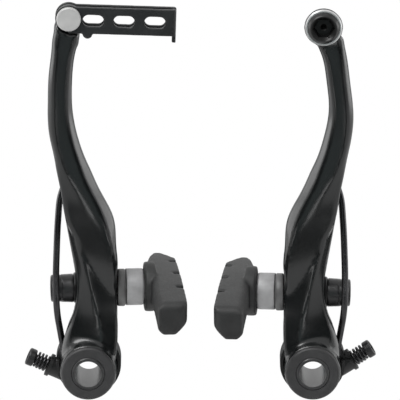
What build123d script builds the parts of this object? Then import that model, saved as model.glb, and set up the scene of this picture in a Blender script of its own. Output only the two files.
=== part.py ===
from build123d import *
from math import cos, degrees, radians, sin, sqrt
import os

# A linear-pull rim brake: two forged arms, each swinging on a bush, each with a coil spring and a brake shoe.
# Each half is modelled about its own pivot, with +X outward from the wheel, +Y towards the frame and +Z up.
# The left half is the mirror image of the right one. Row origin: midway between the pivots, on the bushes' seat.

# Pivot
PIVOT_SPACING = 68.2
BUSH_BORE = 8.0
BUSH_DIAMETER = 10.0
BUSH_LENGTH = 21.0
RUNNING_CLEARANCE = 0.05
SMALL_CHAMFER, LARGE_CHAMFER = 0.25, 0.5
FRONT_RING_DIAMETER = 16.4
FRONT_RING_THICKNESS = 1.4
FRONT_RING_SETBACK = 0.2
BOSS_DIAMETER = 17.2
BOSS_LENGTH = 9.8
NECK_FRONT_SETBACK, NECK_DEPTH, NECK_FLARE = 0.7, 3.6, 6.0
NECK_INNER, NECK_OUTER, NECK_BOTTOM = -8.4, 5.2, 4.0

# Arm heads
LINK_PIN_OUT, LINK_PIN_HEIGHT = 5.6, 109.8
ANCHOR_OUT, ANCHOR_HEIGHT = 3.0, 107.2
HEAD_MID_Y = -14.0
TONGUE_THICKNESS = 2.4
TONGUE_RADIUS = 4.0
TONGUE_DEPTH = 4.9
TONGUE_INSET, TONGUE_ROOT = 1.0, 4.0
SADDLE_GAP, SADDLE_INNER, SADDLE_TOP = 0.35, 0.6, 2.2
ANCHOR_HEAD_RADIUS = 6.1
ANCHOR_HEAD_BACK_RADIUS, ANCHOR_HEAD_BACK_DROP = 5.2, 1.0
ANCHOR_NECK_DEPTH = 3.7
ANCHOR_HEAD_THICKNESS = 6.0
CABLE_GROOVE_RADIUS = 0.9

# Lofted body of the arm
BLADE_BOTTOM = 24.0
LEG_BOTTOM, LEG_TOP = 3.0, 52.0
BACK_CHAMFER = 1.3

# Shoe seat on the arm
SEAT_INNER, SEAT_OUTER = -8.8, 3.5
STUD_Y = -7.0
BLOCK_DEPTH = 12.6
BLOCK_BOTTOM, BLOCK_TOP = 12.1, 34.5
BLOCK_ROUNDING = 2.4
SLOT_WIDTH = 7.6
SLOT_LENGTH = 15.0
SLOT_MID_HEIGHT = 22.9
SEAT_POCKET_GAP = 1.1

# Shoe, stud and washers, along the stud from the middle of the arm
SHOE_HEIGHT = {"left": 23.6, "right": 22.2}
SHOE_TOE_IN = 4.5
STUD_DIAMETER = 6.0
STUD_CLEARANCE = 0.2
THREAD_CLEARANCE = 0.03
BALL_GAP = 0.12
INNER_BALL_WASHER_DIAMETER = 11.4
INNER_BALL_WASHER_RIM = 2.2
OUTER_BALL_WASHER_DIAMETER = 9.4
OUTER_BALL_WASHER_RIM = 0.8
BALL_WASHER_BORE = 8.0
SPACER_DIAMETER = 11.2
SPACER_RIM_LENGTH = 5.7
CUP_WASHER_RIM_LENGTH = 4.0
CUP_WASHER_TAPER = 0.5
NUT_DIAMETER = 8.2
NUT_LENGTH = 2.95
NUT_SLEEVE_DIAMETER = 7.3
NUT_SLEEVE_LENGTH = 2.0
NUT_KEY = 5.0
NUT_KEY_DEPTH = 1.6
SHOE_COLLAR_DIAMETER = 15.2
SHOE_COLLAR_THICKNESS = 1.9
SHOE_THICKNESS = 9.0
SHOE_DEPTH = 10.2
SHOE_FRONT_LENGTH, SHOE_BACK_LENGTH = 33.0, 25.0
RIM_RADIUS = 290.0
SHOE_LOWER_CHAMFER = 3.6
SHOE_BACK_CHAMFER = 1.6
SHOE_END_ROUNDING = 2.6
SHOE_NOSE_LENGTH = 8.6
SHOE_NOSE_FACE_TAPER, SHOE_NOSE_BACK_TAPER = 3.6, 2.6
GROOVE_WIDTH, GROOVE_DEPTH = 1.8, 2.2
GROOVE_PITCH, GROOVE_COUNT, GROOVE_MID = 14.5, 3, -3.0
BACKING_THICKNESS, BACKING_DEPTH = 1.6, 6.4
BACKING_COVER = 1.5
BACKING_END_COVER = 9.0

# Return spring and its housing
WIRE_DIAMETER = 2.0
COIL_RADIUS = 7.6
COIL_TURNS = 2.5
COIL_PITCH = 2.15
COIL_BACK_Y = -2.65
WELD_SWELL, WELD_TURN = 1.03, (30, 0, 40)
PEG_HEIGHT = 59.8
SPRING_TAIL = 2.7
# Bends of the spring's leg: how far up towards the peg each one lies, how far out and how deep
SPRING_BENDS = [(0.31, 9.7, -14.1), (0.51, 9.75, -13.8), (0.72, 9.3, -12.4), (0.886, 8.6, -10.2)]
SPRING_LEG = [(7.75, -8.1, 5.5), *[(out, depth, share * PEG_HEIGHT) for share, out, depth in SPRING_BENDS],
              (4.6, -9.7, PEG_HEIGHT + SPRING_TAIL)]
SPRING_LEG_ROUNDINGS = [10.0, 22.0, 60.0, 60.0, 18.0]
HOUSING_WALL = 1.0
HOUSING_FLOOR = 1.5
HOUSING_DEPTH = 9.2
HOUSING_COIL_GAP = 0.3
LEG_WINDOW_MARGIN, LEG_WINDOW_BOTTOM = 0.5, 1.0
STOP_PIN_DIAMETER, STOP_PIN_ROOT_DIAMETER = 2.4, 2.0
STOP_PIN_LENGTH = 5.0
STOP_PIN_RADIUS = 7.6
PEG_DIAMETER = 1.8
PEG_FRONT_Y, PEG_BACK_Y = -14.0, -8.2
PEG_GAP = 0.05

# Spring tension screw in the housing's lug
LUG_ANGLE = {"left": 23.5, "right": 32.0}
LUG_OFFSET = 6.0
LUG_Y = -4.9
LUG_DIAMETER = 6.0
LUG_END = 10.8
LUG_FLANGE_DIAMETER = 7.0
LUG_FLANGE_THICKNESS = 1.0
SCREW_DIAMETER = 3.0
SCREW_TIP = 9.2
SCREW_HEAD_DIAMETER = 5.4
SCREW_HEAD_LENGTH = 2.3
SCREW_SLOT_LENGTH, SCREW_SLOT_WIDTH, SCREW_SLOT_DEPTH = 3.4, 0.9, 1.1
SCREW_SPRING_LENGTH = 4.5
SCREW_SPRING_WIRE = 0.75
SCREW_SPRING_DIAMETER = 5.2
SCREW_SPRING_TURNS = 3.4

# Cable link
LINK_SHEET = 1.2
LINK_SIDE_PLAY = 0.1
LINK_REACH = 32.4
LINK_HALF_HEIGHT = 4.1
LINK_DROP = 0.5
LINK_SLOPE = 1.8
LINK_SLOT_LENGTH, LINK_SLOT_HEIGHT = 6.4, 3.5
LINK_SLOT_FIRST, LINK_SLOT_LAST_MARGIN, LINK_SLOT_COUNT = 7.4, 6.4, 3
LINK_TAB_RADIUS, LINK_TAB_OUT = 1.5, 5.8
LINK_LIP_DROP = 2.2
LINK_BEND_RADIUS = 1.0
NOODLE_HOLE_DIAMETER, NOODLE_SLOT_WIDTH = 2.2, 1.7
RIVET_DIAMETER = 4.0
RIVET_HEAD_DIAMETER = 7.4
RIVET_HEAD_THICKNESS = 1.5
RIVET_TAIL_DIAMETER = 6.4
RIVET_TAIL_THICKNESS = 1.0

# Cable anchor
ANCHOR_BOLT_DIAMETER = 6.0
ANCHOR_WASHER_DIAMETER = 11.1
ANCHOR_WASHER_THICKNESS = 1.0
ANCHOR_BOLT_HEAD_DIAMETER = 10.0
ANCHOR_BOLT_FACE_DIAMETER = 8.0
ANCHOR_BOLT_HEAD_HEIGHT = 1.4
ANCHOR_KEY = 5.0
ANCHOR_KEY_DEPTH = 2.8
ANCHOR_KEY_CHAMFER_DIAMETER = 7.6
ANCHOR_BOLT_TAIL = 1.2

FRONT_RING_FRONT_Y = -BUSH_LENGTH + FRONT_RING_SETBACK
BOSS_FRONT_Y = FRONT_RING_FRONT_Y + FRONT_RING_THICKNESS
BOSS_BACK_Y = BOSS_FRONT_Y + BOSS_LENGTH
SEAT_MID = (SEAT_INNER + SEAT_OUTER) / 2
SEAT_HALF = (SEAT_OUTER - SEAT_INNER) / 2
UP_FROM_BASE = (Align.CENTER, Align.CENTER, Align.MIN)


def rod(start, end, radius):
    """A round bar between two points."""
    start = Vector(start)
    span = Vector(end) - start
    return Plane(origin=start, z_dir=span) * Cylinder(radius, span.length, align=UP_FROM_BASE)


def tube(start, end, outer_radius, inner_radius):
    return rod(start, end, outer_radius) - rod(start, end, inner_radius)


def block(low, high):
    """A box between two corners."""
    size = [b - a for a, b in zip(low, high)]
    return Pos(*low) * Box(*size, align=(Align.MIN, Align.MIN, Align.MIN))


def flat_face(height, points):
    """A polygon of (out, depth) points at one height of the arm."""
    return make_face(Polyline(*[(x, y, height) for x, y in points], close=True))


# Blade of the arm, in evenly spaced sections from the shoe's seat up to the head. Each row has the outer and inner
# edges, the outer and inner ridges of the front, the front depths at the outer edge, the ridges and the inner edge,
# and the depth of the back.
BLADE_LOWER = [
    (-4.6, -8.8, -7.5, -8.25, -14.2, -14.0, -13.1, -9.0),
    (-3.0, -8.8, -7.2, -8.1, -15.6, -16.6, -14.3, -9.0),
    (0.3, -8.8, -6.9, -7.9, -16.6, -17.8, -15.0, -9.3),
    (3.9, -8.45, -5.4, -6.8, -16.9, -18.4, -15.2, -10.0),
    (6.6, -7.8, -2.4, -5.1, -16.9, -18.6, -15.0, -10.9),
    (7.8, -5.3, 1.0, -2.7, -16.6, -18.4, -14.6, -11.4),
    (8.8, -2.4, 4.8, 0.2, -16.1, -18.1, -14.3, -11.4),
    (9.9, 0.1, 7.9, 2.3, -15.5, -17.6, -14.0, -11.3),
    (11.1, 2.3, 9.7, 4.2, -15.1, -17.2, -14.0, -11.1),
    (12.0, 3.8, 10.4, 5.5, -14.9, -17.0, -14.0, -11.0),
    (12.1, 4.6, 10.5, 6.1, -14.8, -17.0, -14.1, -11.0),
]
BLADE_UPPER = {
    "left": [(12.0, 4.7, 10.5, 6.0, -14.85, -17.0, -14.2, -11.0), (11.6, 4.4, 10.2, 5.6, -14.9, -17.0, -14.3, -11.0),
             (10.9, 3.5, 9.7, 4.7, -15.0, -16.9, -14.4, -11.0), (10.1, 2.2, 9.0, 3.4, -15.2, -16.8, -14.6, -11.0)],
    "right": [(11.5, 4.3, 10.0, 5.6, -14.85, -17.0, -14.2, -11.0), (10.8, 3.6, 9.4, 4.8, -14.9, -17.0, -14.3, -11.0),
              (10.0, 2.4, 8.8, 3.6, -15.1, -16.9, -14.6, -11.0), (9.2, 0.9, 8.2, 2.0, -15.4, -16.8, -15.0, -11.0)],
}

# Outer leg of the arm, in evenly spaced sections from the pivot up into the blade. Each row has the outer and inner
# edges, the ridge, the front depths at the outer edge, the ridge and the inner edge, the depth of the back, and the
# width of the flank that takes off the outer front edge.
LEG_ROWS = [
    (8.5, -8.4, -2.4, -17.4, -18.6, -17.0, -11.6, 2.2),
    (7.4, -9.0, -4.4, -15.6, -17.2, -15.0, -11.4, 1.8),
    (5.1, -9.0, -3.0, -14.6, -16.5, -13.6, -10.4, 1.5),
    (3.8, -8.9, -1.0, -14.5, -16.5, -13.0, -10.0, 1.3),
    (4.2, -8.7, 0.8, -14.6, -16.8, -12.8, -10.1, 1.2),
    (5.4, -7.9, 2.8, -14.6, -16.8, -13.1, -10.6, 0.9),
    (6.6, -6.3, 4.6, -14.9, -16.8, -13.4, -11.3, 0.6),
    (7.6, -4.2, 6.0, -15.2, -16.6, -13.6, -12.0, 0.4),
]


def spread(low, high, count):
    """Evenly spaced values, ends included."""
    return [low + (high - low) * index / (count - 1) for index in range(count)]


def blade(side):
    rows = BLADE_LOWER + BLADE_UPPER[side]
    top = LINK_PIN_HEIGHT - TONGUE_DEPTH if side == "left" else ANCHOR_HEIGHT - ANCHOR_NECK_DEPTH
    sections = []
    for height, row in zip(spread(BLADE_BOTTOM, top, len(rows)), rows):
        out, inn, ridge_out, ridge_in, y_out, y_ridge, y_in, y_back = row
        sections.append(flat_face(height, [
            (inn, y_in), (ridge_in, y_ridge), (ridge_out, y_ridge), (out, y_out), (out, y_back - BACK_CHAMFER),
            (out - BACK_CHAMFER, y_back), (inn + BACK_CHAMFER, y_back), (inn, y_back - BACK_CHAMFER)]))
    body = loft(sections)
    return body + link_saddle(sections[-1]) if side == "left" else body


def link_saddle(section):
    """The outer side of the arm's top, which rises close round the link's end."""
    rise = extrude(section, TONGUE_DEPTH - SADDLE_TOP, dir=(0, 0, 1))
    low = LINK_PIN_HEIGHT - TONGUE_DEPTH
    rise &= block((LINK_PIN_OUT + SADDLE_INNER, -BUSH_LENGTH, low), (2 * BOSS_DIAMETER, 0, LINK_PIN_HEIGHT))
    return rise - rod((LINK_PIN_OUT, -BUSH_LENGTH, LINK_PIN_HEIGHT), (LINK_PIN_OUT, 0, LINK_PIN_HEIGHT),
                      LINK_HALF_HEIGHT + SADDLE_GAP)


def leg():
    sections = []
    for height, row in zip(spread(LEG_BOTTOM, LEG_TOP, len(LEG_ROWS)), LEG_ROWS):
        out, inn, ridge, y_out, y_ridge, y_in, y_back, flank = row
        sections.append(flat_face(height, [
            (inn, y_in), (ridge, y_ridge), (out - flank, y_out), (out, y_out + flank), (out, y_back - BACK_CHAMFER),
            (out - BACK_CHAMFER, y_back), (inn + BACK_CHAMFER, y_back), (inn, y_back - BACK_CHAMFER)]))
    return loft(sections)


def shoe_slot():
    """The upright slot that the stud slides in, cut right through the seat."""
    half_run = (SLOT_LENGTH - SLOT_WIDTH) / 2
    low, high = SEAT_INNER - SLOT_WIDTH, SEAT_OUTER + SLOT_WIDTH
    slot = block((low, STUD_Y - SLOT_WIDTH / 2, SLOT_MID_HEIGHT - half_run),
                 (high, STUD_Y + SLOT_WIDTH / 2, SLOT_MID_HEIGHT + half_run))
    for end in (-half_run, half_run):
        slot += rod((low, STUD_Y, SLOT_MID_HEIGHT + end), (high, STUD_Y, SLOT_MID_HEIGHT + end), SLOT_WIDTH / 2)
    return slot


def seat_pocket(start, end, washer_diameter):
    """Room beside the seat for the washers, over their whole travel along the slot."""
    half_run = (SLOT_LENGTH - STUD_DIAMETER) / 2
    radius = washer_diameter / 2 + SEAT_POCKET_GAP
    pocket = block((start, STUD_Y - radius, SLOT_MID_HEIGHT - half_run),
                   (end, STUD_Y + radius + BLOCK_DEPTH, SLOT_MID_HEIGHT + half_run))
    for height in (SLOT_MID_HEIGHT - half_run, SLOT_MID_HEIGHT + half_run):
        pocket += rod((start, STUD_Y, height), (end, STUD_Y, height), radius)
    return pocket


def arm(side):
    body = blade(side) + leg()
    seat = block((SEAT_INNER, STUD_Y - BLOCK_DEPTH / 2, BLOCK_BOTTOM),
                 (SEAT_OUTER, STUD_Y + BLOCK_DEPTH / 2, BLOCK_TOP))
    seat = fillet(seat.edges().filter_by(Axis.X), BLOCK_ROUNDING)
    body += seat
    body += rod((0, BOSS_FRONT_Y, 0), (0, BOSS_BACK_Y, 0), BOSS_DIAMETER / 2)
    body += neck()
    body += link_tongue() if side == "left" else anchor_head()
    body -= rod((0, -BUSH_LENGTH, 0), (0, 0, 0), BUSH_DIAMETER / 2 + RUNNING_CLEARANCE)
    body -= block((-BOSS_DIAMETER, -BUSH_LENGTH, -BOSS_DIAMETER), (BOSS_DIAMETER, BOSS_FRONT_Y, BOSS_DIAMETER))
    body -= shoe_slot()
    body -= seat_pocket(SEAT_OUTER, SEAT_OUTER + SLOT_LENGTH, OUTER_BALL_WASHER_DIAMETER)
    body -= seat_pocket(SEAT_INNER - SLOT_LENGTH, SEAT_INNER, INNER_BALL_WASHER_DIAMETER)
    body -= spring_peg(THREAD_CLEARANCE)
    if side == "right":
        body -= anchor_cuts()
    return body


def neck():
    """The hollow round above the boss, where the boss runs into the leg."""
    boss = BOSS_DIAMETER / 2
    front = BOSS_FRONT_Y + NECK_FRONT_SETBACK
    hollow = EllipticalCenterArc((boss + NECK_FLARE, front), NECK_FLARE, NECK_DEPTH, start_angle=90, arc_size=90)
    root = Polyline((boss, front), (BUSH_DIAMETER / 2, front), (BUSH_DIAMETER / 2, front + NECK_DEPTH),
                    (boss + NECK_FLARE, front + NECK_DEPTH))
    flare = revolve(make_face(hollow + root), Axis.Y)
    return flare & block((NECK_INNER, front, NECK_BOTTOM), (NECK_OUTER, front + NECK_DEPTH, 2 * BOSS_DIAMETER))


def link_tongue():
    """The flat tongue at the top of the arm that the link straddles, with its rivet hole."""
    front, back = HEAD_MID_Y - TONGUE_THICKNESS / 2, HEAD_MID_Y + TONGUE_THICKNESS / 2
    tongue = rod((LINK_PIN_OUT, front, LINK_PIN_HEIGHT), (LINK_PIN_OUT, back, LINK_PIN_HEIGHT), TONGUE_RADIUS)
    root = LINK_PIN_HEIGHT - TONGUE_DEPTH - TONGUE_ROOT
    tongue += block((LINK_PIN_OUT - TONGUE_RADIUS + TONGUE_INSET, front, root),
                    (LINK_PIN_OUT + TONGUE_RADIUS, back, LINK_PIN_HEIGHT))
    hole = rod((LINK_PIN_OUT, front, LINK_PIN_HEIGHT), (LINK_PIN_OUT, back, LINK_PIN_HEIGHT),
               RIVET_DIAMETER / 2 + THREAD_CLEARANCE)
    return tongue - hole


def anchor_head():
    """The round head at the top of the arm that the cable is clamped on, narrower at its back."""
    rounds = []
    for depth, drop, radius in ((-ANCHOR_HEAD_THICKNESS / 2, 0, ANCHOR_HEAD_RADIUS),
                                (ANCHOR_HEAD_THICKNESS / 2, ANCHOR_HEAD_BACK_DROP, ANCHOR_HEAD_BACK_RADIUS)):
        middle = (ANCHOR_OUT, HEAD_MID_Y + depth, ANCHOR_HEIGHT - drop)
        rounds.append(Plane(origin=middle, x_dir=(1, 0, 0), z_dir=(0, 1, 0)) * Circle(radius))
    head = loft(rounds)
    return chamfer(head.edges().filter_by(Plane.XZ), LARGE_CHAMFER)


def anchor_cuts():
    """The threaded hole through the head, and the groove that the cable lies in under the washer."""
    front = HEAD_MID_Y - ANCHOR_HEAD_THICKNESS / 2
    hole = rod((ANCHOR_OUT, front, ANCHOR_HEIGHT), (ANCHOR_OUT, front + ANCHOR_HEAD_THICKNESS, ANCHOR_HEIGHT),
               ANCHOR_BOLT_DIAMETER / 2 + THREAD_CLEARANCE)
    groove_height = ANCHOR_HEIGHT + ANCHOR_BOLT_DIAMETER / 2 + CABLE_GROOVE_RADIUS
    reach = ANCHOR_HEAD_RADIUS
    groove = rod((ANCHOR_OUT - reach, front, groove_height), (ANCHOR_OUT + reach, front, groove_height),
                 CABLE_GROOVE_RADIUS)
    return hole + groove


def spring_peg(extra=0.0):
    """The steel peg on the back of the arm that the spring's leg bears on."""
    low, high = Vector(SPRING_LEG[-2]), Vector(SPRING_LEG[-1])
    run = high - low
    wire = low + run * ((PEG_HEIGHT - low.Z) / run.Z)
    upright = run.Z / sqrt(run.X ** 2 + run.Z ** 2)
    out = wire.X + (WIRE_DIAMETER / 2 + PEG_DIAMETER / 2 + PEG_GAP) / upright
    return rod((out, PEG_FRONT_Y, PEG_HEIGHT), (out, PEG_BACK_Y, PEG_HEIGHT), PEG_DIAMETER / 2 + extra)


def pivot_bush():
    bush = tube((0, -BUSH_LENGTH, 0), (0, 0, 0), BUSH_DIAMETER / 2, BUSH_BORE / 2)
    rims = bush.edges().filter_by(GeomType.CIRCLE).group_by(SortBy.RADIUS)[-1]
    return chamfer(rims, SMALL_CHAMFER)


def front_ring():
    ring = tube((0, FRONT_RING_FRONT_Y, 0), (0, BOSS_FRONT_Y, 0), FRONT_RING_DIAMETER / 2,
                BUSH_DIAMETER / 2 + RUNNING_CLEARANCE)
    rims = ring.edges().filter_by(GeomType.CIRCLE).group_by(SortBy.RADIUS)[-1]
    return chamfer(rims.sort_by(Axis.Y)[0], LARGE_CHAMFER)


def lug_point(side, along, y=LUG_Y):
    """A point on the tension screw's axis, which passes below the pivot."""
    turn = radians(LUG_ANGLE[side])
    return (along * cos(turn) + LUG_OFFSET * sin(turn), y, along * sin(turn) - LUG_OFFSET * cos(turn))


def lug_rod(side, start, end, radius):
    return rod(lug_point(side, start), lug_point(side, end), radius)


def spring_housing(side):
    """A moulded cup round the coil, with a lug for the tension screw and a window for the spring's leg."""
    coil_room = COIL_RADIUS + WIRE_DIAMETER / 2 + HOUSING_COIL_GAP
    cup = rod((0, -HOUSING_DEPTH, 0), (0, 0, 0), coil_room + HOUSING_WALL)
    lug = lug_rod(side, 0, LUG_END, LUG_DIAMETER / 2)
    lug += lug_rod(side, LUG_END - LUG_FLANGE_THICKNESS, LUG_END, LUG_FLANGE_DIAMETER / 2)
    body = cup + lug
    body -= rod((0, -BUSH_LENGTH, 0), (0, -HOUSING_FLOOR, 0), coil_room)
    body -= rod((0, -BUSH_LENGTH, 0), (0, 0, 0), BUSH_DIAMETER / 2 + THREAD_CLEARANCE)
    body -= lug_rod(side, 0, LUG_END, SCREW_DIAMETER / 2 + RUNNING_CLEARANCE)
    room = WIRE_DIAMETER / 2 + LEG_WINDOW_MARGIN
    leg_y = SPRING_LEG[0][1]
    body -= block((COIL_RADIUS - room, -BUSH_LENGTH, LEG_WINDOW_BOTTOM),
                  (COIL_RADIUS + coil_room, leg_y + room, coil_room + HOUSING_WALL))
    body -= rod((0, -HOUSING_FLOOR, STOP_PIN_RADIUS), (0, 0, STOP_PIN_RADIUS),
                STOP_PIN_ROOT_DIAMETER / 2 + THREAD_CLEARANCE)
    return body


def stop_pin():
    """The pin on the housing's back that enters a hole beside the frame's pivot."""
    pin = rod((0, 0, STOP_PIN_RADIUS), (0, STOP_PIN_LENGTH, STOP_PIN_RADIUS), STOP_PIN_DIAMETER / 2)
    pin = chamfer(pin.edges().filter_by(GeomType.CIRCLE).sort_by(Axis.Y)[-1], SMALL_CHAMFER)
    return pin + rod((0, -HOUSING_FLOOR, STOP_PIN_RADIUS), (0, 0, STOP_PIN_RADIUS), STOP_PIN_ROOT_DIAMETER / 2)


def wire_sweep(path, diameter):
    return sweep(Plane(origin=path @ 0, z_dir=path % 0) * Circle(diameter / 2), path=path, is_frenet=True)


def return_spring():
    coil_frame = Plane(origin=(0, COIL_BACK_Y, 0), x_dir=(-1, 0, 0), z_dir=(0, -1, 0))
    rise = COIL_TURNS * COIL_PITCH
    coil = coil_frame * wire_sweep(Helix(COIL_PITCH, rise, COIL_RADIUS), WIRE_DIAMETER)
    joint = (COIL_RADIUS, COIL_BACK_Y - rise, 0)
    path = FilletPolyline(joint, *SPRING_LEG, radius=SPRING_LEG_ROUNDINGS)
    spring_leg = wire_sweep(path, WIRE_DIAMETER)
    weld = Pos(*joint) * Rot(*WELD_TURN) * Sphere(WELD_SWELL * WIRE_DIAMETER / 2)
    return coil + weld + spring_leg


def tension_screw(side):
    head_start = LUG_END + SCREW_SPRING_LENGTH
    head_end = head_start + SCREW_HEAD_LENGTH
    head = lug_rod(side, head_start, head_end, SCREW_HEAD_DIAMETER / 2)
    head = fillet(head.edges().filter_by(GeomType.CIRCLE), LARGE_CHAMFER)
    shank = lug_rod(side, SCREW_TIP, head_start, SCREW_DIAMETER / 2)
    slot_frame = Plane(origin=lug_point(side, head_end),
                       z_dir=Vector(lug_point(side, 1)) - Vector(lug_point(side, 0)))
    cross = Box(SCREW_SLOT_WIDTH, SCREW_SLOT_LENGTH, 2 * SCREW_SLOT_DEPTH)
    cross += Box(SCREW_SLOT_LENGTH, SCREW_SLOT_WIDTH, 2 * SCREW_SLOT_DEPTH)
    return head + shank - slot_frame * cross


def screw_spring(side):
    """The small spring under the screw's head that keeps it from shaking loose."""
    seat_gap = SCREW_SPRING_WIRE / 2 + RUNNING_CLEARANCE
    rise = SCREW_SPRING_LENGTH - 2 * seat_gap
    axis = Vector(lug_point(side, 1)) - Vector(lug_point(side, 0))
    frame = Plane(origin=lug_point(side, LUG_END + seat_gap), z_dir=axis)
    radius = (SCREW_SPRING_DIAMETER - SCREW_SPRING_WIRE) / 2
    return frame * wire_sweep(Helix(rise / SCREW_SPRING_TURNS, rise, radius), SCREW_SPRING_WIRE)


def ball_radius(seat, rim, diameter):
    """Radius, about the middle of the arm, of the round face of a washer with this rim."""
    return sqrt((seat + rim) ** 2 + (diameter / 2) ** 2)


INNER_BALL = ball_radius(SEAT_HALF, INNER_BALL_WASHER_RIM, INNER_BALL_WASHER_DIAMETER)
OUTER_BALL = ball_radius(SEAT_HALF, OUTER_BALL_WASHER_RIM, OUTER_BALL_WASHER_DIAMETER)
SPACER_FACE = sqrt((INNER_BALL + BALL_GAP) ** 2 - (SPACER_DIAMETER / 2) ** 2) + SPACER_RIM_LENGTH
CUP_FACE = sqrt((OUTER_BALL + BALL_GAP) ** 2 - (OUTER_BALL_WASHER_DIAMETER / 2) ** 2) + CUP_WASHER_RIM_LENGTH
SHOE_BACK = SPACER_FACE + SHOE_COLLAR_THICKNESS
BACKING_BACK = SHOE_BACK + BACKING_COVER
NUT_END = CUP_FACE + NUT_LENGTH
STUD_END = NUT_END - NUT_KEY_DEPTH


def seamless_ball(radius, direction):
    """A ball whose seam is on the side away from the stud's end that it shapes."""
    return Rot(0, 0, 180 if direction > 0 else 0) * Sphere(radius)


def ball_washer(direction, diameter, ball):
    """A washer that is flat on the arm and round on its other face."""
    washer = rod((direction * SEAT_HALF, 0, 0), (direction * 2 * ball, 0, 0), diameter / 2)
    washer &= seamless_ball(ball, direction)
    rims = washer.edges().filter_by(GeomType.CIRCLE).group_by(SortBy.RADIUS)[-1]
    washer = chamfer(rims, SMALL_CHAMFER)
    return washer - rod((0, 0, 0), (direction * 2 * ball, 0, 0), BALL_WASHER_BORE / 2)


def spacer():
    body = rod((0, 0, 0), (-SPACER_FACE, 0, 0), SPACER_DIAMETER / 2)
    body = chamfer(body.edges().filter_by(GeomType.CIRCLE).sort_by(Axis.X)[0], LARGE_CHAMFER)
    body -= seamless_ball(INNER_BALL + BALL_GAP, -1)
    return body - rod((0, 0, 0), (-SPACER_FACE, 0, 0), STUD_DIAMETER / 2 + STUD_CLEARANCE)


def cup_washer():
    wide, narrow = OUTER_BALL_WASHER_DIAMETER / 2, OUTER_BALL_WASHER_DIAMETER / 2 - CUP_WASHER_TAPER
    body = Plane(origin=(0, 0, 0), z_dir=(1, 0, 0)) * Cone(wide, narrow, CUP_FACE, align=UP_FROM_BASE)
    body -= seamless_ball(OUTER_BALL + BALL_GAP, 1)
    return body - rod((0, 0, 0), (CUP_FACE, 0, 0), NUT_SLEEVE_DIAMETER / 2 + RUNNING_CLEARANCE)


def shoe_nut():
    body = rod((CUP_FACE, 0, 0), (NUT_END, 0, 0), NUT_DIAMETER / 2)
    body = chamfer(body.edges().filter_by(GeomType.CIRCLE).sort_by(Axis.X)[-1], SMALL_CHAMFER)
    body += rod((CUP_FACE - NUT_SLEEVE_LENGTH, 0, 0), (CUP_FACE, 0, 0), NUT_SLEEVE_DIAMETER / 2)
    body -= rod((0, 0, 0), (STUD_END, 0, 0), STUD_DIAMETER / 2 + THREAD_CLEARANCE)
    key = Plane(origin=(STUD_END, 0, 0), z_dir=(1, 0, 0)) * RegularPolygon(NUT_KEY / 2, 6, major_radius=False)
    return body - extrude(key, NUT_KEY_DEPTH)


def shoe_stud():
    """The threaded post and the steel backing moulded into the rubber."""
    post = rod((-BACKING_BACK - BACKING_THICKNESS / 2, 0, 0), (STUD_END - STUD_CLEARANCE, 0, 0), STUD_DIAMETER / 2)
    post = chamfer(post.edges().filter_by(GeomType.CIRCLE).sort_by(Axis.X)[-1], LARGE_CHAMFER)
    return post + backing_plate()


def backing_plate(extra=0.0):
    front, back = SHOE_FRONT_LENGTH - BACKING_END_COVER, SHOE_BACK_LENGTH - BACKING_END_COVER
    return block((-BACKING_BACK - BACKING_THICKNESS - extra, -front - extra, -BACKING_DEPTH / 2 - extra),
                 (-BACKING_BACK + extra, back + extra, BACKING_DEPTH / 2 + extra))


def brake_shoe():
    """A rubber shoe curved to the rim, with a round collar on its back and grooves across its face."""
    back, face = -SHOE_BACK, -SHOE_BACK - SHOE_THICKNESS
    low, high = -SHOE_DEPTH / 2, SHOE_DEPTH / 2
    outline = [(back, low + SHOE_BACK_CHAMFER), (back, high - SHOE_BACK_CHAMFER), (back - SHOE_BACK_CHAMFER, high),
               (face, high), (face, low + SHOE_LOWER_CHAMFER), (face + SHOE_LOWER_CHAMFER, low),
               (back - SHOE_BACK_CHAMFER, low)]
    axle = Axis((0, 0, -RIM_RADIUS), (1, 0, 0))
    profile = make_face(Polyline(*[(x, 0, z) for x, z in outline], close=True))
    body = revolve(profile, axle, degrees(SHOE_FRONT_LENGTH / RIM_RADIUS))
    body += revolve(profile, axle, -degrees(SHOE_BACK_LENGTH / RIM_RADIUS))
    front_end = body.faces().sort_by(Axis.Y)[0]
    body = fillet([front_end.edges().sort_by(Axis.Z)[-1], front_end.edges().sort_by(Axis.X)[0]], SHOE_END_ROUNDING)
    nose_start, nose_end = SHOE_BACK_LENGTH - SHOE_NOSE_LENGTH, SHOE_BACK_LENGTH + SHOE_NOSE_LENGTH
    for side_x, taper in ((face, SHOE_NOSE_FACE_TAPER), (back, -SHOE_NOSE_BACK_TAPER)):
        corners = ((side_x, nose_start), (side_x, nose_end), (side_x + 2 * taper, nose_end))
        wedge = make_face(Polyline(*corners, close=True))
        wedge = extrude(wedge, 2 * SHOE_DEPTH, both=True)
        body -= wedge
    for index in range(GROOVE_COUNT):
        middle = GROOVE_MID + (index - (GROOVE_COUNT - 1) / 2) * GROOVE_PITCH
        body -= block((face - GROOVE_DEPTH, middle - GROOVE_WIDTH / 2, -2 * SHOE_DEPTH),
                      (face + GROOVE_DEPTH, middle + GROOVE_WIDTH / 2, 2 * SHOE_DEPTH))
    body += rod((-SPACER_FACE, 0, 0), (-SHOE_BACK - SHOE_BACK_CHAMFER, 0, 0), SHOE_COLLAR_DIAMETER / 2)
    body -= rod((0, 0, 0), (-BACKING_BACK, 0, 0), STUD_DIAMETER / 2 + THREAD_CLEARANCE)
    return body - backing_plate(THREAD_CLEARANCE)


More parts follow.
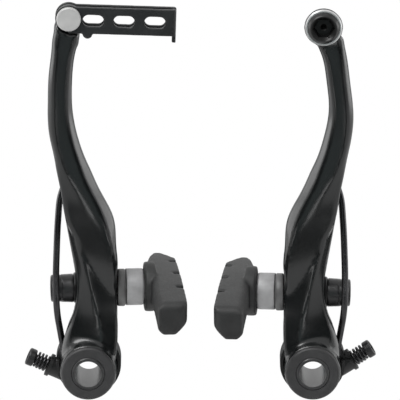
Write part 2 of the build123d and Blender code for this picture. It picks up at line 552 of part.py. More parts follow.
def cable_link():
    """A folded sheet: two slotted side plates joined by an end wall that holds the end of the cable's guide pipe."""
    half_gap = TONGUE_THICKNESS / 2 + LINK_SIDE_PLAY
    half_width = half_gap + LINK_SHEET
    low, high = -LINK_HALF_HEIGHT - LINK_DROP, LINK_HALF_HEIGHT - LINK_DROP
    wall = -LINK_REACH + LINK_SHEET
    body = block((-LINK_REACH, -half_width, low), (0, half_width, high))
    body = fillet(body.edges().filter_by(Axis.Z).sort_by(Axis.X)[:2], LINK_BEND_RADIUS)
    body += rod((0, -half_width, 0), (0, half_width, 0), LINK_HALF_HEIGHT)
    body += rod((-LINK_TAB_OUT, -half_width, low), (-LINK_TAB_OUT, half_width, low), LINK_TAB_RADIUS)
    body += block((-LINK_REACH, -half_gap, low - LINK_LIP_DROP), (wall, half_gap, low))
    body -= block((wall, -half_gap, 2 * low), (2 * LINK_HALF_HEIGHT, half_gap, 2 * high))
    half_run = (LINK_SLOT_LENGTH - LINK_SLOT_HEIGHT) / 2
    for middle in spread(-LINK_SLOT_FIRST, -LINK_REACH + LINK_SLOT_LAST_MARGIN, LINK_SLOT_COUNT):
        body -= block((middle - half_run, -half_width, -LINK_SLOT_HEIGHT / 2 - LINK_DROP),
                      (middle + half_run, half_width, LINK_SLOT_HEIGHT / 2 - LINK_DROP))
        for end in (middle - half_run, middle + half_run):
            body -= rod((end, -half_width, -LINK_DROP), (end, half_width, -LINK_DROP), LINK_SLOT_HEIGHT / 2)
    body -= rod((-LINK_REACH, 0, -LINK_DROP), (wall, 0, -LINK_DROP), NOODLE_HOLE_DIAMETER / 2)
    body -= block((-LINK_REACH, -NOODLE_SLOT_WIDTH / 2, -LINK_DROP), (wall, NOODLE_SLOT_WIDTH / 2, high))
    body -= rod((0, -half_width, 0), (0, half_width, 0), RIVET_DIAMETER / 2 + RUNNING_CLEARANCE)
    return Pos(LINK_PIN_OUT, HEAD_MID_Y, LINK_PIN_HEIGHT) * Rot(0, -LINK_SLOPE, 0) * body


def link_rivet():
    half = TONGUE_THICKNESS / 2 + 2 * LINK_SIDE_PLAY + LINK_SHEET
    head = rod((0, -half - RIVET_HEAD_THICKNESS, 0), (0, -half, 0), RIVET_HEAD_DIAMETER / 2)
    head = fillet(head.edges().filter_by(GeomType.CIRCLE).sort_by(Axis.Y)[0], LARGE_CHAMFER)
    tail = rod((0, half, 0), (0, half + RIVET_TAIL_THICKNESS, 0), RIVET_TAIL_DIAMETER / 2)
    tail = fillet(tail.edges().filter_by(GeomType.CIRCLE).sort_by(Axis.Y)[-1], LARGE_CHAMFER)
    shank = rod((0, -half, 0), (0, half, 0), RIVET_DIAMETER / 2)
    return Pos(LINK_PIN_OUT, HEAD_MID_Y, LINK_PIN_HEIGHT) * (head + shank + tail)


def anchor_washer():
    front = HEAD_MID_Y - ANCHOR_HEAD_THICKNESS / 2
    washer = tube((ANCHOR_OUT, front - ANCHOR_WASHER_THICKNESS, ANCHOR_HEIGHT), (ANCHOR_OUT, front, ANCHOR_HEIGHT),
                  ANCHOR_WASHER_DIAMETER / 2, ANCHOR_BOLT_DIAMETER / 2 + STUD_CLEARANCE)
    rims = washer.edges().filter_by(GeomType.CIRCLE).group_by(SortBy.RADIUS)[-1]
    return chamfer(rims.sort_by(Axis.Y)[0], SMALL_CHAMFER)


def anchor_bolt():
    washer_front = HEAD_MID_Y - ANCHOR_HEAD_THICKNESS / 2 - ANCHOR_WASHER_THICKNESS
    back = HEAD_MID_Y + ANCHOR_HEAD_THICKNESS / 2 + ANCHOR_BOLT_TAIL
    centre = (ANCHOR_OUT, washer_front - ANCHOR_BOLT_HEAD_HEIGHT, ANCHOR_HEIGHT)
    inward = Plane(origin=centre, x_dir=(1, 0, 0), z_dir=(0, 1, 0))
    head = inward * Cone(ANCHOR_BOLT_FACE_DIAMETER / 2, ANCHOR_BOLT_HEAD_DIAMETER / 2, ANCHOR_BOLT_HEAD_HEIGHT,
                         align=UP_FROM_BASE)
    shank = rod((ANCHOR_OUT, washer_front, ANCHOR_HEIGHT), (ANCHOR_OUT, back, ANCHOR_HEIGHT),
                ANCHOR_BOLT_DIAMETER / 2)
    shank = chamfer(shank.edges().filter_by(GeomType.CIRCLE).sort_by(Axis.Y)[-1], LARGE_CHAMFER)
    key = inward * RegularPolygon(ANCHOR_KEY / 2, 6, major_radius=False)
    mouth = inward * Cone(ANCHOR_KEY_CHAMFER_DIAMETER / 2, 0, ANCHOR_KEY_CHAMFER_DIAMETER / 2, align=UP_FROM_BASE)
    return head + shank - extrude(key, ANCHOR_KEY_DEPTH) - mouth


def shoe_set(side):
    """The shoe with its stud, nut and washers, along its stud; only the ball washers stay square to the arm."""
    place = Pos(SEAT_MID, STUD_Y, SHOE_HEIGHT[side])
    toed = place * Rot(0, 0, -SHOE_TOE_IN)
    return {
        "inner_ball_washer": place * ball_washer(-1, INNER_BALL_WASHER_DIAMETER, INNER_BALL),
        "outer_ball_washer": place * ball_washer(1, OUTER_BALL_WASHER_DIAMETER, OUTER_BALL),
        "shoe_spacer": toed * spacer(),
        "cup_washer": toed * cup_washer(),
        "shoe_nut": toed * shoe_nut(),
        "shoe_stud": toed * shoe_stud(),
        "brake_shoe": toed * brake_shoe(),
    }


def half_brake(side):
    pieces = {
        "arm": arm(side),
        "pivot_bush": pivot_bush(),
        "front_ring": front_ring(),
        "spring_housing": spring_housing(side),
        "stop_pin": stop_pin(),
        "return_spring": return_spring(),
        "spring_peg": spring_peg(),
        "tension_screw": tension_screw(side),
        "screw_spring": screw_spring(side),
    }
    pieces.update(shoe_set(side))
    if side == "left":
        pieces["cable_link"] = cable_link()
        pieces["link_rivet"] = link_rivet()
    else:
        pieces["anchor_washer"] = anchor_washer()
        pieces["anchor_bolt"] = anchor_bolt()
    return pieces


SINGLE = ("cable_link", "link_rivet", "anchor_washer", "anchor_bolt")
os.makedirs("parts", exist_ok=True)
for side in ("left", "right"):
    for name, piece in half_brake(side).items():
        if side == "left":
            piece = mirror(piece, about=Plane.YZ)
        pivot = -PIVOT_SPACING / 2 if side == "left" else PIVOT_SPACING / 2
        node = name if name in SINGLE else f"{side}_{name}"
        export_step(Pos(pivot, 0, 0) * piece, f"parts/{node}.step")
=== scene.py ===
import math

import bpy
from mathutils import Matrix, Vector


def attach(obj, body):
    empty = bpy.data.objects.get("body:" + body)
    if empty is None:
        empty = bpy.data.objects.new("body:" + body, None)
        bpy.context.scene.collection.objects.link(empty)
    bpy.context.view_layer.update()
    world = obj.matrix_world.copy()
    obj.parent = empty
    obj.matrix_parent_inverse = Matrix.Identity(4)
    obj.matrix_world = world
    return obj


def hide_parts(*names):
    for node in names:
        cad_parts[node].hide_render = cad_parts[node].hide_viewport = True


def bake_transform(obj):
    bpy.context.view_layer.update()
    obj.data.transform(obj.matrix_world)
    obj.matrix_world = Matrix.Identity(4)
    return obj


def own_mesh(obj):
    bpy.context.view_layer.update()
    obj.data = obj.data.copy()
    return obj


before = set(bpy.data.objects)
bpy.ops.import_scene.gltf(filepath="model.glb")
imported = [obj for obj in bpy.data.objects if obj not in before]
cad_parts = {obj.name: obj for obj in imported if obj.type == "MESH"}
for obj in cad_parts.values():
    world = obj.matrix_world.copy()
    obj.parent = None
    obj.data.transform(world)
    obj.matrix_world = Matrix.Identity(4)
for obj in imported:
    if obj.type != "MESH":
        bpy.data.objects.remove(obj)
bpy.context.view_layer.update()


# Pivot bushes
# Two ground steel sleeves that the arms turn on. Each slides over a boss on the bicycle's frame, and a bolt
# holds it there. They are turned on a lathe, so fine rings run round them, inside and out.

SIDES = ("left", "right")
PIVOT_OUT = {"left": -0.0341, "right": 0.0341}


def new_group(name, inputs, outputs):
    """An empty shader group with named sockets."""
    group = bpy.data.node_groups.new(name, "ShaderNodeTree")
    for label, kind, value in inputs:
        socket = group.interface.new_socket(label, in_out="INPUT", socket_type=kind)
        socket.default_value = value
    for label in outputs:
        group.interface.new_socket(label, in_out="OUTPUT", socket_type="NodeSocketFloat")
    return group, group.nodes.new("NodeGroupInput"), group.nodes.new("NodeGroupOutput")


def add_node(tree, kind, links=(), **settings):
    """A node with its settings, and what feeds its inputs."""
    node = tree.nodes.new(kind)
    for key, value in settings.items():
        setattr(node, key, value)
    for socket, source in links:
        if hasattr(source, "is_linked"):
            tree.links.new(source, node.inputs[socket])
        else:
            node.inputs[socket].default_value = source
    return node


STAINS_PER_METRE, STAIN_DETAIL = 350.0, 4.0
RING_DETAIL, RING_ROUGHNESS = 3.0, 0.6


def make_turning_marks():
    """Fine rings about an axis: across flat ends they run round it, and along round sides they follow its length."""
    group, given, out = new_group(
        "turning_marks",
        [("Centre", "NodeSocketVector", (0, 0, 0)), ("Axis", "NodeSocketVector", (0, 1, 0)),
         ("Rings per metre", "NodeSocketFloat", 4000.0)], ["Rings", "Stains", "Radius"])
    place = add_node(group, "ShaderNodeTexCoord").outputs["Object"]
    offset = add_node(group, "ShaderNodeVectorMath", [(0, place), (1, given.outputs["Centre"])], operation="SUBTRACT")
    along = add_node(group, "ShaderNodeVectorMath", [(0, offset.outputs[0]), (1, given.outputs["Axis"])],
                     operation="DOT_PRODUCT")
    shift = add_node(group, "ShaderNodeVectorMath", [(0, given.outputs["Axis"]), ("Scale", along.outputs["Value"])],
                     operation="SCALE")
    spoke = add_node(group, "ShaderNodeVectorMath", [(0, offset.outputs[0]), (1, shift.outputs[0])],
                     operation="SUBTRACT")
    radius = add_node(group, "ShaderNodeVectorMath", [(0, spoke.outputs[0])], operation="LENGTH")
    both = add_node(group, "ShaderNodeCombineXYZ", [("X", radius.outputs["Value"]), ("Y", along.outputs["Value"])])
    rings = add_node(group, "ShaderNodeTexNoise", [("Vector", both.outputs[0]), ("Detail", RING_DETAIL),
                                                   ("Roughness", RING_ROUGHNESS),
                                                   ("Scale", given.outputs["Rings per metre"])])
    stains = add_node(group, "ShaderNodeTexNoise", [("Vector", place), ("Scale", STAINS_PER_METRE),
                                                    ("Detail", STAIN_DETAIL)])
    group.links.new(rings.outputs["Fac"], out.inputs["Rings"])
    group.links.new(stains.outputs["Fac"], out.inputs["Stains"])
    group.links.new(radius.outputs["Value"], out.inputs["Radius"])
    return group


turning_marks = make_turning_marks()


def new_finish(name, **values):
    """A material whose plain values sit on the shader's own sockets."""
    material = bpy.data.materials.new(name)
    material.use_nodes = True
    shader = material.node_tree.nodes["Principled BSDF"]
    for socket, value in values.items():
        shader.inputs[socket.replace("_", " ")].default_value = value
    return material, material.node_tree, shader


TINT_SPAN = (0.3, 0.7)
GLOSS_SPAN = (0.25, 0.75)


def tint(tree, shader, mask, dark, pale):
    """Colours the surface between two tones by a mask."""
    mix = add_node(tree, "ShaderNodeMix", [(6, (*dark, 1)), (7, (*pale, 1))], data_type="RGBA")
    span = add_node(tree, "ShaderNodeMapRange", [(0, mask), (1, TINT_SPAN[0]), (2, TINT_SPAN[1])])
    tree.links.new(span.outputs[0], mix.inputs[0])
    tree.links.new(mix.outputs[2], shader.inputs["Base Color"])


def gloss(tree, shader, mask, smooth, rough):
    """Varies the roughness between two values by a mask."""
    span = add_node(tree, "ShaderNodeMapRange", [(0, mask), (1, GLOSS_SPAN[0]), (2, GLOSS_SPAN[1]), (3, smooth),
                                                 (4, rough)])
    tree.links.new(span.outputs[0], shader.inputs["Roughness"])


def relief(tree, shader, height, depth):
    """Raises the surface by a mask, to a depth in metres."""
    bump = add_node(tree, "ShaderNodeBump", [("Height", height), ("Distance", depth), ("Strength", 1.0)])
    tree.links.new(bump.outputs["Normal"], shader.inputs["Normal"])


def turned_finish(name, centre, axis, dark, pale, smooth, rough, rings=4000.0, depth=0.000004, **values):
    """Metal turned on a lathe about one axis."""
    material, tree, shader = new_finish(name, **values)
    marks = add_node(tree, "ShaderNodeGroup", node_tree=turning_marks)
    for socket, value in (("Centre", centre), ("Axis", axis), ("Rings per metre", rings)):
        marks.inputs[socket].default_value = value
    tint(tree, shader, marks.outputs["Stains"], dark, pale)
    gloss(tree, shader, marks.outputs["Rings"], smooth, rough)
    relief(tree, shader, marks.outputs["Rings"], depth)
    return material


TONE_EDGE = 1.03


def paint_inner_light_and_shade(material, radius, tone):
    """Paints a tone within a radius of the axis: painted light in a bore, painted shade in a socket."""
    tree = material.node_tree
    shader = tree.nodes["Principled BSDF"]
    marks = next(node for node in tree.nodes if node.type == "GROUP")
    outer = shader.inputs["Base Color"].links[0].from_socket
    mask = add_node(tree, "ShaderNodeMapRange", [(0, marks.outputs["Radius"]), (1, radius), (2, radius * TONE_EDGE)])
    mix = add_node(tree, "ShaderNodeMix", [(0, mask.outputs[0]), (6, (*tone, 1)), (7, outer)], data_type="RGBA")
    tree.links.new(mix.outputs[2], shader.inputs["Base Color"])


def dress(material, *nodes):
    """Gives solids their finish."""
    for name in nodes:
        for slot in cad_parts[name].material_slots:
            slot.material = material


# The bore is painted lighter than the face: painted light, standing in for the white surroundings it reflects.
BORE_RADIUS = 0.00404
BORE_PAINTED_LIGHT = (0.1, 0.1, 0.1)
ALONG_PIVOT = (0, 1, 0)
for side in SIDES:
    ground_steel = turned_finish(f"ground_steel_{side}", (PIVOT_OUT[side], 0, 0), ALONG_PIVOT,
                                 dark=(0.035, 0.035, 0.036), pale=(0.05, 0.05, 0.051), smooth=0.26, rough=0.4,
                                 Metallic=0.4)
    paint_inner_light_and_shade(ground_steel, BORE_RADIUS, BORE_PAINTED_LIGHT)
    dress(ground_steel, f"{side}_pivot_bush")


# Spring housings and stop pins
# Moulded black plastic cups behind the arms, each holding the coil of a return spring, with a steel pin on the
# back that enters a hole in the bicycle's frame. A lug on the side carries the tension screw.

GRAIN_DETAIL, GRAIN_ROUGHNESS = 4.0, 0.55
PATCH_DETAIL = 3.0


def make_fine_grain():
    """A fine all-over grain with broader patches under it, for moulded, painted or rubber surfaces."""
    group, given, out = new_group("fine_grain", [("Grains per metre", "NodeSocketFloat", 2500.0),
                                                 ("Patches per metre", "NodeSocketFloat", 120.0)],
                                  ["Grain", "Patches"])
    place = add_node(group, "ShaderNodeTexCoord").outputs["Object"]
    grain = add_node(group, "ShaderNodeTexNoise", [("Vector", place), ("Detail", GRAIN_DETAIL),
                                                   ("Roughness", GRAIN_ROUGHNESS),
                                                   ("Scale", given.outputs["Grains per metre"])])
    patches = add_node(group, "ShaderNodeTexNoise", [("Vector", place), ("Detail", PATCH_DETAIL),
                                                     ("Scale", given.outputs["Patches per metre"])])
    group.links.new(grain.outputs["Fac"], out.inputs["Grain"])
    group.links.new(patches.outputs["Fac"], out.inputs["Patches"])
    return group


fine_grain = make_fine_grain()


def grained_finish(name, dark, pale, smooth, rough, grains=2500.0, patches=120.0, depth=0.000008, **values):
    """A surface with a fine grain all over."""
    material, tree, shader = new_finish(name, **values)
    grain = add_node(tree, "ShaderNodeGroup", node_tree=fine_grain)
    grain.inputs["Grains per metre"].default_value = grains
    grain.inputs["Patches per metre"].default_value = patches
    tint(tree, shader, grain.outputs["Patches"], dark, pale)
    gloss(tree, shader, grain.outputs["Grain"], smooth, rough)
    relief(tree, shader, grain.outputs["Grain"], depth)
    return material


moulded_plastic = grained_finish("moulded_plastic", dark=(0.007, 0.007, 0.0074), pale=(0.012, 0.012, 0.0124),
                                 smooth=0.38, rough=0.55, Specular_IOR_Level=0.4)
black_oxide = grained_finish("black_oxide_steel", dark=(0.02, 0.02, 0.021), pale=(0.04, 0.04, 0.041), smooth=0.3,
                             rough=0.45, grains=5000.0, depth=0.000004, Metallic=0.6)

for side in SIDES:
    dress(moulded_plastic, f"{side}_spring_housing")
    dress(black_oxide, f"{side}_stop_pin")


# Return springs
# Hardened black steel wire: a coil in the housing, and a long leg up the outside of the arm that a peg on the
# arm's back holds. The leg bends as the arm swings.

def copy_solid(node, name):
    """A separate piece with a solid's own shape."""
    piece = bpy.data.objects.new(name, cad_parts[node].data.copy())
    bpy.context.collection.objects.link(piece)
    return piece


spring_wire = grained_finish("spring_wire", dark=(0.035, 0.035, 0.037), pale=(0.06, 0.06, 0.062), smooth=0.2,
                             rough=0.32, grains=3500.0, depth=0.000003, Metallic=0.9)
for side in SIDES:
    wire = copy_solid(f"{side}_return_spring", f"{side}_spring_wire")
    wire.data.materials.clear()
    wire.data.materials.append(spring_wire)
    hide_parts(f"{side}_return_spring")
    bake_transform(wire)
    dress(black_oxide, f"{side}_spring_peg")


# Tension screws
# Small black screws in the housings' lugs, with a cross slot in the head and a light coil spring under it that
# keeps the screw from shaking loose.

for side in SIDES:
    out = -1 if side == "left" else 1
    coil = copy_solid(f"{side}_screw_spring", f"{side}_screw_coil")
    coil.data.materials.clear()
    coil.data.materials.append(spring_wire)
    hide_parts(f"{side}_screw_spring")
    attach(coil, "pivot_mounts")
    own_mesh(coil)
    dress(black_oxide, f"{side}_tension_screw")


# Arms
# Forged aluminium arms with soft facets, painted gloss black. Forging leaves every edge rounded and runs the
# boss, the shoe's seat and the blade smoothly into each other.

gloss_paint = grained_finish("gloss_black_paint", dark=(0.0042, 0.0051, 0.0053), pale=(0.006, 0.0071, 0.0073),
                             smooth=0.2, rough=0.25, grains=900.0, patches=60.0, depth=0.000001,
                             Specular_IOR_Level=0.5)
ARM_GRID, ARM_PASSES = 0.00035, 50
ROUNDING_PULL = 0.5


def forge(node, grid, passes):
    """Runs a solid's faces into each other with the small rounding of a forging."""
    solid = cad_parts[node]
    skin = solid.modifiers.new("forged_skin", "REMESH")
    skin.mode = "VOXEL"
    skin.voxel_size = grid
    skin.use_smooth_shade = True
    rounding = solid.modifiers.new("forged_rounding", "SMOOTH")
    rounding.factor = ROUNDING_PULL
    rounding.iterations = passes


for side in SIDES:
    dress(gloss_paint, f"{side}_arm")
    forge(f"{side}_arm", ARM_GRID, ARM_PASSES)


# Front rings
# Dark grey rings pressed on the front of the bushes, which keep the arms from sliding off. They are turned,
# with a dull face and a broken edge.

RING_EDGE = 0.0002
WELD_REACH = 0.000002
EDGE_STEPS, EDGE_ANGLE = 2, math.radians(35)


def soften(width, *nodes):
    """Rounds the sharp edges of solids a little, as tumbling or moulding leaves them."""
    for name in nodes:
        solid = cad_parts[name]
        weld = solid.modifiers.new("join_faces", "WELD")
        weld.merge_threshold = WELD_REACH
        edge = solid.modifiers.new("round_edges", "BEVEL")
        edge.width = width
        edge.segments = EDGE_STEPS
        edge.limit_method = "ANGLE"
        edge.angle_limit = EDGE_ANGLE
        edge.use_clamp_overlap = False
        edge.harden_normals = True


for side in SIDES:
    ring_grey = turned_finish(f"ring_grey_{side}", (PIVOT_OUT[side], 0, 0), ALONG_PIVOT, dark=(0.03, 0.03, 0.031),
                              pale=(0.04, 0.04, 0.041), smooth=0.42, rough=0.58, rings=2500.0, Metallic=0.3)
    dress(ring_grey, f"{side}_front_ring")
    soften(RING_EDGE, f"{side}_front_ring")


# Cable link and its rivet
# A dark folded steel sheet with three slots through both of its sides. It swings on a bright rivet at the top
# of the left arm, and its end wall holds the cable's guide pipe.

LINK_PIN = (-0.0397, -0.014, 0.1098)
LINK_GRID, LINK_PASSES = 0.0002, 8
RIVET_EDGE = 0.00025
plated_sheet = grained_finish("plated_sheet", dark=(0.032, 0.033, 0.034), pale=(0.044, 0.045, 0.046), smooth=0.3,
                              rough=0.42, grains=3000.0, depth=0.000004, Metallic=0.7)
dress(plated_sheet, "cable_link")
bright_rivet = turned_finish("bright_rivet", LINK_PIN, ALONG_PIVOT, dark=(0.43, 0.43, 0.425),
                             pale=(0.5, 0.5, 0.495), smooth=0.4, rough=0.52, rings=2500.0, depth=0.000002,
                             Metallic=0.25)
dress(bright_rivet, "link_rivet")
forge("cable_link", LINK_GRID, LINK_PASSES)
soften(RIVET_EDGE, "link_rivet")


# Cable clamp
# A dark steel hexagon-socket bolt and a bright chamfered washer on the round head of the right arm. They pinch
# the cable in a groove across the head.

CLAMP = (0.0371, -0.017, 0.1072)
# Inside the hexagon socket the bolt is painted darker: painted shade in the recess.
SOCKET_RADIUS, SOCKET_PAINTED_SHADE = 0.0037, (0.02, 0.02, 0.02)
BOLT_EDGE = 0.00015
bright_washer = turned_finish("bright_washer", CLAMP, ALONG_PIVOT, dark=(0.5, 0.5, 0.5), pale=(0.6, 0.6, 0.6),
                              smooth=0.22, rough=0.34, rings=3000.0, depth=0.000003, Metallic=0.8)
dress(bright_washer, "anchor_washer")
socket_steel = turned_finish("socket_steel", CLAMP, ALONG_PIVOT, dark=(0.035, 0.035, 0.035),
                             pale=(0.055, 0.055, 0.055), smooth=0.26, rough=0.4, rings=3000.0, depth=0.000004,
                             Metallic=0.9)
paint_inner_light_and_shade(socket_steel, SOCKET_RADIUS, SOCKET_PAINTED_SHADE)
dress(socket_steel, "anchor_bolt")
soften(BOLT_EDGE, "anchor_bolt")


# Ball washers, spacers and cup washers
# Turned steel washers on each shoe's stud. The ones on the wheel's side are satin silver, and the ones on the
# nut's side are black. Their round faces let the shoe tilt before the nut is tightened.

STUD_OUT, STUD_Y = 0.03145, -0.007
SHOE_HEIGHT = {"left": 0.0236, "right": 0.0222}
TOE_IN = math.radians(4.5)
SILVER_EDGE, BLACK_EDGE = 0.0004, 0.0002
for side in SIDES:
    out = -1 if side == "left" else 1
    middle = (out * STUD_OUT, STUD_Y, SHOE_HEIGHT[side])
    stud_axis = (out * math.cos(TOE_IN), -math.sin(TOE_IN), 0)
    satin_steel = turned_finish(f"satin_steel_{side}", middle, stud_axis, dark=(0.315, 0.315, 0.319),
                                pale=(0.39, 0.39, 0.395), smooth=0.5, rough=0.62, rings=2500.0, Metallic=0.3)
    black_turned = turned_finish(f"black_turned_{side}", middle, stud_axis, dark=(0.02, 0.02, 0.021),
                                 pale=(0.035, 0.035, 0.036), smooth=0.25, rough=0.4, rings=2500.0, Metallic=0.5)
    grey_steel = turned_finish(f"grey_steel_{side}", middle, stud_axis, dark=(0.1, 0.1, 0.1), pale=(0.14, 0.14, 0.14),
                               smooth=0.42, rough=0.55, rings=2500.0, Metallic=0.3)
    dress(satin_steel, f"{side}_shoe_spacer")
    dress(grey_steel, f"{side}_inner_ball_washer")
    soften(SILVER_EDGE, f"{side}_shoe_spacer", f"{side}_inner_ball_washer")
    soften(BLACK_EDGE, f"{side}_outer_ball_washer", f"{side}_cup_washer")
    dress(black_turned, f"{side}_outer_ball_washer", f"{side}_cup_washer", f"{side}_shoe_nut", f"{side}_shoe_stud")


# Brake shoes
# Moulded black rubber, curved to the rim, with a collar round the stud and grooves across the braking face. The
# skin is matt, with the fine grain of the mould.

shoe_rubber = grained_finish("shoe_rubber", dark=(0.0095, 0.01, 0.0101), pale=(0.0168, 0.0174, 0.0174), smooth=0.5,
                             rough=0.68, grains=2200.0, patches=200.0, depth=0.00002)
SHOE_GRID, SHOE_PASSES = 0.0003, 36
for side in SIDES:
    dress(shoe_rubber, f"{side}_brake_shoe")
    forge(f"{side}_brake_shoe", SHOE_GRID, SHOE_PASSES)


# Studio
# A plain white floor well under the brake and a white sky, with a large soft lamp above, one on each side and two
# small ones low in front.

def white_where_seen(tree):
    """A mask for what the camera sees, by itself, in reflections or through glass."""
    path = add_node(tree, "ShaderNodeLightPath")
    seen = add_node(tree, "ShaderNodeMath", [(0, path.outputs["Is Camera Ray"]), (1, path.outputs["Is Glossy Ray"])],
                    operation="MAXIMUM")
    seen = add_node(tree, "ShaderNodeMath", [(0, seen.outputs[0]), (1, path.outputs["Is Transmission Ray"])],
                    operation="MAXIMUM")
    return seen


WHITE = (1, 1, 1, 1)
SKY_LIGHT = 0.55
world = bpy.data.worlds.new("studio")
bpy.context.scene.world = world
world.use_nodes = True
sky = world.node_tree
sky.nodes.clear()
lit = add_node(sky, "ShaderNodeBackground", [("Color", WHITE), ("Strength", SKY_LIGHT)])
white = add_node(sky, "ShaderNodeBackground", [("Color", WHITE), ("Strength", 1.0)])
shown = white_where_seen(sky)
blend_sky = add_node(sky, "ShaderNodeMixShader", [(0, shown.outputs[0]), (1, lit.outputs[0]), (2, white.outputs[0])])
add_node(sky, "ShaderNodeOutputWorld", [("Surface", blend_sky.outputs[0])])

# Near the brake the floor keeps its own shade and shadow; further out it is white.
FLOOR_HEIGHT, FLOOR_SIZE = -0.06, 6.0
FLOOR_SHADE, SHADE_REACH = 0.4, 0.16
bpy.ops.mesh.primitive_grid_add(x_subdivisions=2, y_subdivisions=2, size=FLOOR_SIZE, location=(0, 0, FLOOR_HEIGHT))
floor = bpy.context.active_object
floor.name = "studio_floor"
pale, pale_tree, pale_shader = new_finish("pale_floor", Base_Color=(0.9, 0.9, 0.9, 1), Roughness=0.8)
glow = add_node(pale_tree, "ShaderNodeEmission", [("Color", WHITE), ("Strength", 1.0)])
floor_seen = white_where_seen(pale_tree)
floor_place = add_node(pale_tree, "ShaderNodeTexCoord").outputs["Object"]
floor_reach = add_node(pale_tree, "ShaderNodeVectorMath", [(0, floor_place)], operation="LENGTH")
floor_white = add_node(pale_tree, "ShaderNodeMapRange", [(0, floor_reach.outputs["Value"]), (1, SHADE_REACH / 2),
                                                         (2, SHADE_REACH), (3, FLOOR_SHADE), (4, 1.0)])
floor_share = add_node(pale_tree, "ShaderNodeMath", [(0, floor_seen.outputs[0]), (1, floor_white.outputs[0])],
                       operation="MULTIPLY")
floor_mix = add_node(pale_tree, "ShaderNodeMixShader", [(0, floor_share.outputs[0]), (1, pale_shader.outputs[0]),
                                                        (2, glow.outputs[0])])
pale_tree.links.new(floor_mix.outputs[0], pale_tree.nodes["Material Output"].inputs["Surface"])
floor.data.materials.append(pale)

AIM = Vector((-0.00015, -0.012, 0.0523))


def soft_lamp(name, place, width, height, power):
    """A large soft lamp aimed at the brake."""
    data = bpy.data.lights.new(name, "AREA")
    data.shape = "RECTANGLE"
    data.size = width
    data.size_y = height
    data.energy = power
    lamp = bpy.data.objects.new(name, data)
    bpy.context.collection.objects.link(lamp)
    lamp.location = place
    lamp.rotation_euler = (AIM - Vector(place)).to_track_quat("-Z", "Y").to_euler()
    lamp.visible_camera = False


LAMPS = [
    ("lamp_above", (-0.35, -0.4, 0.75), 0.5, 0.35, 5.0),
    ("lamp_left", (-0.78, 0.2, 0.12), 0.55, 0.36, 1.4),
    ("lamp_right", (0.78, 0.2, 0.12), 0.55, 0.36, 1.4),
    ("lamp_low_left", (-0.105, -0.30, -0.05), 0.05, 0.08, 0.06),
    ("lamp_low_right", (0.105, -0.30, -0.05), 0.05, 0.08, 0.06),
]
for name, place, width, height, power in LAMPS:
    soft_lamp(name, place, width, height, power)


# Dark cards
# Three dark curved cards, seen only in reflections: one lies in front of the brake, one stands at its far edge,
# and one lies behind the brake. They glow grey along the middle and are black at the sides: a painted reflection
# that takes glossy paint from grey through black to bright as it turns aside.

CARD_NEAR, CARD_REACH = 0.16, 1.2
CARD_LOW, CARD_HIGH = -0.055, 0.6
LYING_SWEEP, UPRIGHT_SWEEP = 34, 64
CARD_STEPS = 24
CARD_BLACK, CARD_GLOW = (0.01, 0.01, 0.01, 1), (0.41, 0.48, 0.485, 1)
MIDDLE_SLANT, SIDE_SLANT = 0.1, 0.34
DIM_REACH, FULL_REACH, DIM_LEVEL = 0.2, 0.75, 0.25


def dark_card(name, towards, edges, sweep):
    """A curved card between two edges, each with its reach and height, swept to both sides."""
    corners, faces = [], []
    for step in range(CARD_STEPS + 1):
        swing = math.radians(sweep) * (2 * step / CARD_STEPS - 1)
        for reach, height in edges:
            corners.append((reach * math.sin(swing), towards * reach * math.cos(swing), height))
    for first in range(0, 2 * CARD_STEPS, 2):
        faces.append((first, first + 1, first + 3, first + 2))
    mesh = bpy.data.meshes.new(name)
    mesh.from_pydata(corners, [], faces)
    mesh.materials.append(reflection_glow)
    card = bpy.data.objects.new(name, mesh)
    bpy.context.collection.objects.link(card)
    card.visible_camera = False
    card.visible_diffuse = False
    card.visible_shadow = False


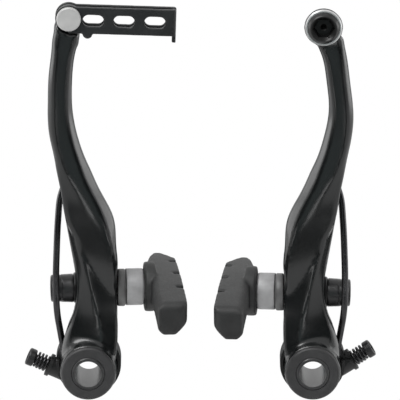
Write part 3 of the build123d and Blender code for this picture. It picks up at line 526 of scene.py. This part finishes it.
def glowing_reflection_card():
    """Glows grey along the middle, and darker to the sides and to the near edge: a painted reflection."""
    material, tree, shader = new_finish("glowing_reflection_card", Base_Color=(0.004, 0.004, 0.004, 1), Roughness=1.0,
                                        Specular_IOR_Level=0.0, Emission_Strength=1.0)
    place = add_node(tree, "ShaderNodeTexCoord").outputs["Object"]
    parts = add_node(tree, "ShaderNodeSeparateXYZ", [(0, place)])
    reach = add_node(tree, "ShaderNodeMath", [(0, parts.outputs["Y"])], operation="ABSOLUTE")
    slant = add_node(tree, "ShaderNodeMath", [(0, parts.outputs["X"]), (1, reach.outputs[0])], operation="DIVIDE")
    aside = add_node(tree, "ShaderNodeMath", [(0, slant.outputs[0])], operation="ABSOLUTE")
    middle = add_node(tree, "ShaderNodeMapRange", [(0, aside.outputs[0]), (1, MIDDLE_SLANT), (2, SIDE_SLANT),
                                                   (3, 1.0), (4, 0.0)])
    far = add_node(tree, "ShaderNodeMapRange", [(0, reach.outputs[0]), (1, DIM_REACH), (2, FULL_REACH),
                                                (3, DIM_LEVEL), (4, 1.0)])
    level = add_node(tree, "ShaderNodeMath", [(0, middle.outputs[0]), (1, far.outputs[0])], operation="MULTIPLY")
    shade = add_node(tree, "ShaderNodeMix", [(0, level.outputs[0]), (6, CARD_BLACK), (7, CARD_GLOW)],
                     data_type="RGBA")
    tree.links.new(shade.outputs[2], shader.inputs["Emission Color"])
    return material


reflection_glow = glowing_reflection_card()
dark_card("card_in_front", -1, ((CARD_NEAR, CARD_LOW), (CARD_REACH, CARD_LOW)), LYING_SWEEP)
dark_card("card_upright", -1, ((CARD_REACH, CARD_LOW), (CARD_REACH, CARD_HIGH)), UPRIGHT_SWEEP)
dark_card("card_behind", 1, ((CARD_NEAR, CARD_LOW), (CARD_REACH, CARD_LOW)), LYING_SWEEP)


# Camera
# A long lens three metres away, straight in front and a little above, so that the two halves are seen almost
# without perspective.

CAMERA_DISTANCE = 3.0
CAMERA_TILT = math.radians(14.3)
FIELD_OF_VIEW = 0.1212
eye = bpy.data.cameras.new("camera")
eye.sensor_width = 36.0
eye.lens = eye.sensor_width * CAMERA_DISTANCE / FIELD_OF_VIEW
eye.clip_end = 20.0
camera = bpy.data.objects.new("camera", eye)
bpy.context.collection.objects.link(camera)
camera.location = AIM + CAMERA_DISTANCE * Vector((0, -math.cos(CAMERA_TILT), math.sin(CAMERA_TILT)))
camera.rotation_euler = (AIM - camera.location).to_track_quat("-Z", "Y").to_euler()
bpy.context.scene.camera = camera
bpy.context.scene.view_settings.view_transform = "Standard"
